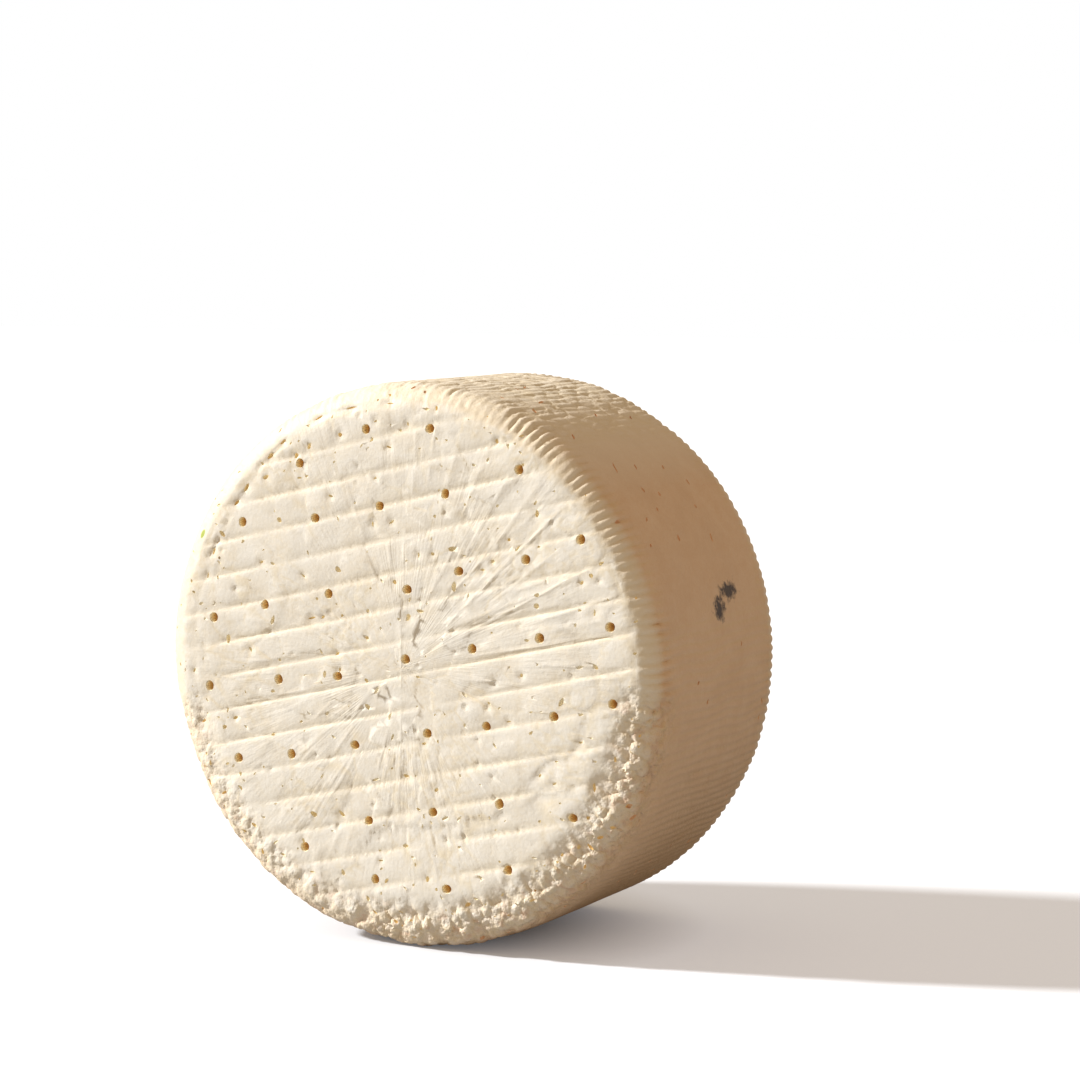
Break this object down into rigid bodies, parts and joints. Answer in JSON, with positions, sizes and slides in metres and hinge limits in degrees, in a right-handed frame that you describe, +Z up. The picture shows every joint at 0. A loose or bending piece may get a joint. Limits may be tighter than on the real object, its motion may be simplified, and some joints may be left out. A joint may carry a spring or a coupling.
{
  "type": "blue cheese wheel",
  "caption": "Whole drum-shaped blue cheese standing on its rim, with a finely ribbed rim, mat-marked faces and needle holes.",
  "frame": {"origin": "middle of the rest flat, under the middle of the wheel", "axes": "+Z up, Y along the wheel's axis with the show face looking to -Y, +X to the right of the show face"},
  "size_m": [0.195, 0.095, 0.194],
  "materials": {
    "rind": "matte, slightly waxy natural rind"
  },
  "bodies": {
    "root": {"cheese_wheel": "rind"}
  },
  "joints": []
}
